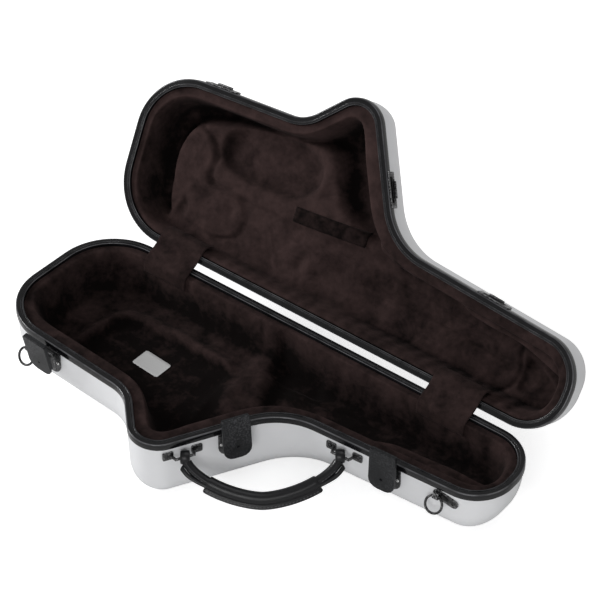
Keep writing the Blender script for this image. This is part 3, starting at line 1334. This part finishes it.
def sink_dimple(piece):
    """Cuts a small cone into a lever's face, above its rounded foot. The face is the largest that looks
    away from the case, and down is square to it and to the level direction in it."""
    mesh = piece.data
    outer = [polygon for polygon in mesh.polygons if polygon.normal[1] < 0]
    face = max(outer, key=lambda polygon: polygon.area)
    out = np.array(face.normal)
    level = np.cross(out, (0, 0, 1))
    level /= np.linalg.norm(level)
    down = np.cross(out, level)
    down *= -np.sign(down[2])
    corners = np.array([mesh.vertices[index].co for index in face.vertices])
    along = corners @ level
    place = (
        level * (along.min() + along.max()) / 2 + down * ((corners @ down).max() - DIMPLE_RISE)
        + out * (corners @ out).mean()
    )
    profile = [(DIMPLE_FOOT_SHARE * DIMPLE_RADIUS, -DIMPLE_DEPTH), (DIMPLE_RADIUS, 0),
               (DIMPLE_MOUTH_SHARE * DIMPLE_RADIUS, DIMPLE_DEPTH)]
    cone = turned("dimple_cutter", profile, place, out, DIMPLE_SIDES)
    cut = piece.modifiers.new("dimple", "BOOLEAN")
    cut.object, cut.operation, cut.solver = cone, "DIFFERENCE", "EXACT"
    bpy.context.view_layer.update()
    whole = piece.evaluated_get(bpy.context.evaluated_depsgraph_get())
    piece.data = bpy.data.meshes.new_from_object(whole)
    piece.modifiers.clear()
    bpy.data.objects.remove(cone)

    # The bevel's own normals no longer fit the cut faces, so even ones take their place
    if "custom_normal" in piece.data.attributes:
        piece.data.attributes.remove(piece.data.attributes["custom_normal"])
    piece.data.shade_smooth()
    piece.data.set_sharp_from_angle(angle=DIMPLE_SHARP)
    even = piece.modifiers.new("even", "WEIGHTED_NORMAL")
    even.keep_sharp, even.weight = True, 100


for number in (1, 2, 3):
    pressed_piece(f"latch_{number}_plate", f"latch_{number}_back_plate", "base")
    pressed_piece(f"latch_{number}_link", f"latch_{number}_draw_link", f"link_{number}")
    cover = broken_edges(f"latch_{number}_cover", f"latch_{number}_lever", LEVER_BREAK)
    sink_dimple(cover)
    finish_piece(cover, "cover_plastic", f"cover_{number}", "latch_cover", f"latch_{number}_cover")
    pressed_piece(f"catch_{number}", f"catch_{number}_bracket", "lid")
for number in (1, 2):
    for body in ("base", "lid"):
        pressed_piece(f"hinge_{number}_{body}_leaf", f"hinge_{number}_{body}_plate", body, LEAF_BREAK)
    pressed_piece(f"strap_ring_{number}_plate", f"strap_ring_{number}_saddle", "base")
for side in ("left", "right"):
    pressed_piece(f"handle_staple_{side}", f"handle_bracket_{side}", "base")
print("pieces so far:", len(pieces_made))

# %% [markdown]
# ## Pins, rivets and screws
#
# Small turned parts are a profile spun about an axis. The screws have a cross pressed into them: their
# height is a dome less a cross-shaped mask, on a polar grid.

# %% Edge frames
LATCH_PLACES = ((BELL_FRONT, 0.445), (HANDLE_FLANK, 0.666), (NECK_FRONT, 0.512))
STAPLE_PLACES = ((HANDLE_FLANK, 0.340), (NECK_FRONT, 0.299))
RING_PLACES = ((BELL_FRONT, 0.305), (NECK_FRONT, 0.756))


def edge_frame(edge, share):
    """Origin on the rim's plane and unit vectors along the edge, into the case and up."""
    point = CORNERS[edge] + (CORNERS[(edge + 1) % EDGES] - CORNERS[edge]) * share
    origin = placed(point, 0.0, False)
    along = np.array([ALONG[edge, 0], -ALONG[edge, 1], 0])
    inward = np.array([INWARD[edge, 0], -INWARD[edge, 1], 0])
    return origin, along, inward, np.array([0, 0, 1.0])


def node_middle(node):
    """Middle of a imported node's box."""
    low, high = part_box(node)
    return np.array((low + high) / 2)


def pin_profile(radius, half_length, chamfer=0.3 * MM):
    """A round bar with a small chamfer at both ends."""
    return [
        (radius - chamfer, -half_length), (radius, chamfer - half_length), (radius, half_length - chamfer),
        (radius - chamfer, half_length),
    ]


SCREW_RADIUS, SCREW_HEAD_HEIGHT, CROSS_DEPTH = 2.6 * MM, 1.2 * MM, 0.6 * MM
HEAD_SIDES, HEAD_FALL = 48, 0.55

# Shares of the head's radius: its loops, and half the width and the length of the cross with their fades
HEAD_LOOPS = (0.05, 0.2, 0.4, 0.55, 0.7, 0.85, 0.95, 1.0, 1.0)
CROSS_HALF_WIDTH, CROSS_SIDE_FADE, CROSS_LENGTH, CROSS_END_FADE = 0.20, 0.06, 0.66, 0.08


def place_screw(node, inward):
    """A domed head on a polar grid, seated on its plate: the dome falls with the square of the radius, less
    a cross that is pressed into it."""
    axis, side, other = square_axes(-inward)
    share = np.array(HEAD_LOOPS)[:, None]
    x, y = share * np.cos(full_turn(HEAD_SIDES)), share * np.sin(full_turn(HEAD_SIDES))
    lift = SCREW_HEAD_HEIGHT * (1 - HEAD_FALL * share ** 2 + 0 * x)
    arm = smooth((CROSS_HALF_WIDTH - np.minimum(np.abs(x), np.abs(y))) / CROSS_SIDE_FADE)
    lift -= CROSS_DEPTH * arm * smooth((CROSS_LENGTH - share) / CROSS_END_FADE)
    lift[-1] = 0
    seat = node_middle(node) + inward * SCREW_HEAD_HEIGHT / 2
    grid = seat + SCREW_RADIUS * (x[..., None] * side + y[..., None] * other) + lift[..., None] * axis
    finish_piece(surface(f"{node}_crossed", grid, sharp=50), "painted_metal", "base", "hardware", node)


# %% Place the small parts
PIN_RADIUS, PIN_REACH = 1.1 * MM, 8.6 * MM
RIVET_RADIUS, RIVET_HEAD = 2.1 * MM, 0.9 * MM
RIVET_SHARES = np.array([(1, 0), (1, 0.25), (0.86, 0.66), (0.5, 0.93), (0.1, 1)])
HINGE_PIN_RADIUS, HINGE_HALF = 1.2 * MM, 23 * MM


def place_pin(node, radius, half_length, along, body):
    """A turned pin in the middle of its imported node."""
    pin = turned(f"{node}_turned", pin_profile(radius, half_length), node_middle(node), along)
    finish_piece(pin, "bright_steel", body, "bright_steel", node)


for number, (edge, share) in enumerate(LATCH_PLACES, 1):
    _, along, inward, _ = edge_frame(edge, share)
    for kind in ("link_pin", "cover_pin"):
        place_pin(f"latch_{number}_{kind}", PIN_RADIUS, PIN_REACH, along, f"link_{number}")
    for side in ("left", "right"):
        node = f"latch_{number}_rivet_{side}"
        seat = node_middle(node) + inward * RIVET_HEAD / 2
        rivet = turned(f"{node}_domed", RIVET_SHARES * (RIVET_RADIUS, RIVET_HEAD), seat, -inward)
        finish_piece(rivet, "bright_steel", "base", "bright_steel", node)
for side, (edge, share) in zip(("left", "right"), STAPLE_PLACES):
    for label in ("a", "b"):
        place_screw(f"handle_screw_{side}_{label}", edge_frame(edge, share)[2])
for number, (edge, share) in enumerate(RING_PLACES, 1):
    place_screw(f"strap_ring_{number}_screw", edge_frame(edge, share)[2])
for number in (1, 2):
    place_pin(f"hinge_{number}_pin", HINGE_PIN_RADIUS, HINGE_HALF, (1, 0, 0), "base")
print("pieces so far:", len(pieces_made))

# %% [markdown]
# ## The strap rings
#
# Each ring is a torus: a small circle carried round a big one that hangs in its eye.

# %% Rings
RING_RADIUS, RING_WIRE, RING_TILT = 10.5 * MM, 1.5 * MM, math.radians(30)
RING_DROPS = (27 * MM, 17.5 * MM)
SADDLE_PLATE_WALL, SADDLE_EYE_OUT = 1.6 * MM, 2.9 * MM
RING_STEPS, WIRE_STEPS = 72, 16


def make_ring(number, edge, share, drop):
    """Torus about an axis along the edge's normal, hung by its top from the eye and tilted outwards."""
    origin, along, inward, up = edge_frame(edge, share)
    eye = origin + inward * (BAND_WALL - SADDLE_PLATE_WALL - SADDLE_EYE_OUT) - up * drop
    turn, wire = full_turn(RING_STEPS)[:, None], full_turn(WIRE_STEPS)[None, :]
    reach = RING_RADIUS + RING_WIRE * np.cos(wire)
    x, y = reach * np.sin(turn), RING_WIRE * np.sin(wire) + 0 * turn
    z = reach * np.cos(turn) - RING_RADIUS
    cos, sin = math.cos(-RING_TILT), math.sin(-RING_TILT)
    y, z = y * cos - z * sin, y * sin + z * cos
    grid = eye + x[..., None] * along + y[..., None] * inward + z[..., None] * up
    return surface(f"strap_ring_{number}_wire", grid, close_rows=True)


for number, ((edge, share), drop) in enumerate(zip(RING_PLACES, RING_DROPS), 1):
    ring = make_ring(number, edge, share, drop)
    finish_piece(ring, "painted_metal", f"ring_{number}", "hardware", f"strap_ring_{number}")

# %% [markdown]
# ## The handle
#
# The handle is a leather tube over a core, bent to half an ellipse, with an eye at both ends and a thicker
# sleeve in the middle. The sleeve's edges meet in a stitched flange on the outer side. Its section is
# carried along the bow, and the stitches are small loops of thread repeated along the flange.

# %% The bow
STAPLE_DROP, BAR_STANDOFF = 20 * MM, 9.5 * MM
HANDLE_DROOP, HANDLE_BOW, BOW_POWER, HANDLE_RADIUS = math.radians(44), 47 * MM, 1.23, 5.5 * MM
EYE_RADIUS, EYE_BORE, EYE_CHAMFER = 8.5 * MM, 5.0 * MM, 0.9 * MM
GRIP_RADIUS, GRIP_FLANGE, GRIP_FLANGE_WALL, GRIP_START = 7.6 * MM, 5.5 * MM, 3.4 * MM, 0.228
BOW_START, EYE_REACH, EYE_FLARE, EYE_TAPER = 5.6 * MM, 5.5 * MM, 1.4 * MM, 1.2 * MM
TAIL_WIDTH, TAIL_THICKNESS, TAIL_OFFSET, TAIL_HIDDEN_OFFSET = 8 * MM, 5 * MM, 8.2 * MM, 1.0 * MM
BOW_STEPS, BOW_CROWDING, BOW_SIDES = 110, 0.6, 48
SEAM_ANGLES, SEAM_SPREAD, SEAM_RISE = (math.pi, 1.35, -1.35), 0.15, 0.35 * MM
TAIL_STEPS, TAIL_CORNER, TAIL_UNDER_GRIP = 60, 0.42, 0.02
EYE_STEPS, EYE_SIDES = 25, 56


def bar_middle(edge, share):
    """Middle of a staple's bar."""
    origin, _, inward, up = edge_frame(edge, share)
    return origin + inward * (BAND_WALL - BAR_STANDOFF) - up * STAPLE_DROP


HANDLE_START, HANDLE_END = (bar_middle(*place) for place in STAPLE_PLACES)
BOW_ALONG = (HANDLE_END - HANDLE_START) / np.linalg.norm(HANDLE_END - HANDLE_START)
BOW_OUT = np.cross(BOW_ALONG, (0, 0, 1))
BOW_OUT /= np.linalg.norm(BOW_OUT)
BOW_REACH = BOW_OUT * math.cos(HANDLE_DROOP) - np.array([0, 0, 1]) * math.sin(HANDLE_DROOP)
BOW_SIDE = np.cross(BOW_ALONG, BOW_REACH)


def bow(share):
    """Points of the drawn-in half ellipse between the eyes, with its tangent and its outward normal."""
    angle = math.pi * np.asarray(share)[:, None]
    span = np.linalg.norm(HANDLE_END - HANDLE_START) / 2
    middle = (HANDLE_START + HANDLE_END) / 2
    cos, sin = np.cos(angle), np.sin(angle)
    aside = np.copysign(np.abs(cos) ** BOW_POWER, cos)
    point = middle - BOW_ALONG * span * aside + BOW_REACH * HANDLE_BOW * sin ** BOW_POWER
    steepness = np.copysign(np.abs(cos) ** (2 - BOW_POWER), cos) * sin ** (BOW_POWER - 1)
    tangent = BOW_ALONG * span * sin + BOW_REACH * HANDLE_BOW * steepness
    tangent /= np.linalg.norm(tangent, axis=1, keepdims=True)
    outward = np.cross(BOW_SIDE, tangent)
    outward *= np.sign(((point - middle) * outward).sum(axis=1, keepdims=True))
    return point, tangent, outward


def along_bow(share, profile):
    """Sections (row, column, xyz): profile points (outwards, sideways) square to the bow's line."""
    point, _, outward = bow(share)
    return point[:, None] + outward[:, None] * profile[..., :1] + BOW_SIDE * profile[..., 1:]


FIRST_SHARE = math.asin((BOW_START / HANDLE_BOW) ** (1 / BOW_POWER)) / math.pi


def make_bow():
    """The tube. Its ends stop inside the eyes' leather, and raised seams run inside and on its faces."""
    share = FIRST_SHARE + (1 - 2 * FIRST_SHARE) * crowded(BOW_STEPS, BOW_CROWDING)
    angle = full_turn(BOW_SIDES)
    from_seams = (np.angle(np.exp(1j * (angle - seam))) for seam in SEAM_ANGLES)
    seams = sum(np.exp(-(away / SEAM_SPREAD) ** 2) for away in from_seams)
    section = HANDLE_RADIUS + SEAM_RISE * seams + 0 * share[:, None]
    profile = np.stack([section * np.cos(angle), section * np.sin(angle)], axis=-1)
    return surface("handle_bow", along_bow(share, profile))


def make_tail(name, at_end):
    """The strap's tail: it leaves the eye, bows away from the tube and runs in under the sleeve. Its offset
    from the tube's line rises to its most near the eye and falls again."""
    gone = np.linspace(0, 1, TAIL_STEPS)
    first = FIRST_SHARE * 0.9
    share = first + (GRIP_START + TAIL_UNDER_GRIP - first) * gone
    lift = smooth(gone / 0.16) * (1 - 0.42 * smooth((gone - 0.35) / 0.65))
    offset = TAIL_HIDDEN_OFFSET + (TAIL_OFFSET - TAIL_HIDDEN_OFFSET) * lift
    half_width = TAIL_WIDTH / 2 * (0.72 + 0.28 * smooth(gone / 0.3))
    share = 1 - share if at_end else share
    section = rounded(np.array([(-0.5, -1.0), (0.5, -1.0), (0.5, 1.0), (-0.5, 1.0)]), TAIL_CORNER, 6)
    profile = np.stack([
        offset[:, None] + section[:, 0] * TAIL_THICKNESS, half_width[:, None] * section[:, 1],
    ], axis=-1)
    return surface(name, along_bow(share, profile))


def make_eye(name, centre):
    """A leather barrel round the staple's bar. Its outside falls and its bore flares towards both mouths
    with the square of the way out, so the bar has room to lie at an angle."""
    way = np.linspace(-1, 1, EYE_STEPS)
    outside = np.stack([EYE_RADIUS - EYE_TAPER * way ** 2, way * EYE_REACH], axis=1)
    outside[[0, -1], 0] -= EYE_CHAMFER
    inside_wall = np.stack([EYE_BORE + EYE_FLARE * way ** 2, way * (EYE_REACH - 0.4 * MM)], axis=1)[::-1]
    section = np.concatenate([outside, inside_wall])
    angle = full_turn(EYE_SIDES)
    spokes = BOW_REACH * np.cos(angle)[:, None] + BOW_SIDE * np.sin(angle)[:, None]
    grid = centre + spokes[:, None] * section[None, :, :1] + BOW_ALONG * section[None, :, 1:]
    return surface(name, grid, close_rows=True)


finish_piece(make_bow(), "leather", "handle", "leather", "handle")
for side, centre in (("left", HANDLE_START), ("right", HANDLE_END)):
    finish_piece(make_eye(f"handle_eye_{side}", centre), "leather", "handle", "leather")
    finish_piece(make_tail(f"handle_tail_{side}", side == "right"), "leather", "handle", "leather")

# %% The sleeve and its stitches
GRIP_STEPS, GRIP_SIDES, GRIP_CORNER, GRIP_BORE_GAP = 70, 44, 0.12, 0.2 * MM
FLANGE_ROUND, FLANGE_TIP = 0.8 * MM, 0.2 * MM
GRIP_END_SHARE, GRIP_END_RUN = 0.82, 0.008


def make_grip():
    """The sleeve: a circle with a flange, shrunk on to the bow at both ends, and a bore."""
    half = GRIP_FLANGE_WALL / 2
    opening = math.asin(half / GRIP_RADIUS)
    angle = np.linspace(opening + GRIP_CORNER, 2 * math.pi - opening - GRIP_CORNER, GRIP_SIDES)
    circle = GRIP_RADIUS * np.stack([np.cos(angle), np.sin(angle)], axis=1)
    tip = GRIP_RADIUS + GRIP_FLANGE
    flange = np.array([
        (GRIP_RADIUS + FLANGE_ROUND, -half), (tip - FLANGE_ROUND, -half), (tip - FLANGE_TIP, -0.75 * half),
        (tip, 0),
        (tip - FLANGE_TIP, 0.75 * half), (tip - FLANGE_ROUND, half), (GRIP_RADIUS + FLANGE_ROUND, half),
    ])
    outer = np.concatenate([circle, flange])
    inner = outer / np.linalg.norm(outer, axis=1, keepdims=True) * (HANDLE_RADIUS + GRIP_BORE_GAP)
    share = np.linspace(GRIP_START, 1 - GRIP_START, GRIP_STEPS)
    roll = smooth(np.minimum(share - GRIP_START, 1 - GRIP_START - share) / GRIP_END_RUN)[:, None, None]
    body = along_bow(share, inner + (outer - inner) * (GRIP_END_SHARE + (1 - GRIP_END_SHARE) * roll))
    bore = along_bow(share[::-1], np.broadcast_to(inner, (len(share), *inner.shape)))
    return surface("handle_sleeve", np.concatenate([body, bore]), close_rows=True, sharp=55)


STITCH_PITCH, STITCH_LENGTH, STITCH_RADIUS = 4.2 * MM, 2.9 * MM, 0.35 * MM
STITCH_SIDES, STITCH_SEAM_SHARE, STITCH_END_GAP = 8, 0.56, 0.012
TUBE_STITCH_TURN, TUBE_STITCH_START = 0.95, 0.055

# A stitch's sections: the way along it as a share of its length, and its radius as a share of the most
STITCH_WAYS, STITCH_SHARES = (-0.5, -0.42, -0.2, 0.2, 0.42, 0.5), (0.05, 0.6, 1.0, 1.0, 0.6, 0.05)


def stitch_row(line, way, out, across):
    """Points (stitch, section, side, xyz) of short thread rods along a line, lying on a face."""
    gone = np.concatenate([[0], np.linalg.norm(np.diff(line, axis=0), axis=1).cumsum()])
    marks = np.arange(STITCH_PITCH / 2, gone[-1], STITCH_PITCH)
    line, way, out, across = (
        np.array([np.interp(marks, gone, values) for values in table.T]).T[:, None, None]
        for table in (line, way, out, across)
    )
    along = np.array(STITCH_WAYS)[:, None, None] * STITCH_LENGTH
    thick = np.array(STITCH_SHARES)[:, None, None] * STITCH_RADIUS
    angle = full_turn(STITCH_SIDES)[:, None]
    return line + way * along + thick * (across * np.cos(angle) + out * np.sin(angle))


def make_stitches():
    """Rods of thread on both faces of the sleeve's flange, and along the tube's seams at both ends."""
    rows = []
    share = np.linspace(GRIP_START + STITCH_END_GAP, 1 - GRIP_START - STITCH_END_GAP, 400)
    point, tangent, outward = bow(share)
    for face in (1, -1):
        side = BOW_SIDE * face + 0 * point
        seam = point + outward * (GRIP_RADIUS + STITCH_SEAM_SHARE * GRIP_FLANGE)
        rows.append(stitch_row(seam + side * GRIP_FLANGE_WALL / 2, tangent, outward, side))
    first, last = FIRST_SHARE + TUBE_STITCH_START, GRIP_START - STITCH_END_GAP
    for low, high in ((first, last), (1 - last, 1 - first)):
        point, tangent, outward = bow(np.linspace(low, high, 120))
        for turn in (TUBE_STITCH_TURN, -TUBE_STITCH_TURN):
            face = outward * math.cos(turn) + BOW_SIDE * math.sin(turn)
            aside = BOW_SIDE * math.cos(turn) - outward * math.sin(turn)
            rows.append(stitch_row(point + face * HANDLE_RADIUS, tangent, aside, face))
    points = np.concatenate(rows)
    count, size = len(points), len(STITCH_WAYS) * STITCH_SIDES
    starts = np.arange(count)[:, None] * size
    one = grid_faces(len(STITCH_WAYS), STITCH_SIDES, False, True)
    quads = (one[None] + starts[..., None]).reshape(-1, 4)
    ring = np.arange(STITCH_SIDES)[None]
    ends = np.concatenate([ring[:, ::-1] + starts, ring + size - STITCH_SIDES + starts])
    print("stitches:", count)
    return make_object("handle_stitches", points.reshape(-1, 3), quads.tolist() + ends.tolist())


finish_piece(make_grip(), "leather", "handle", "leather", "handle_grip")
finish_piece(make_stitches(), "thread", "handle", "leather")

# %% Measure and finish
print("pieces:", len(pieces_made))
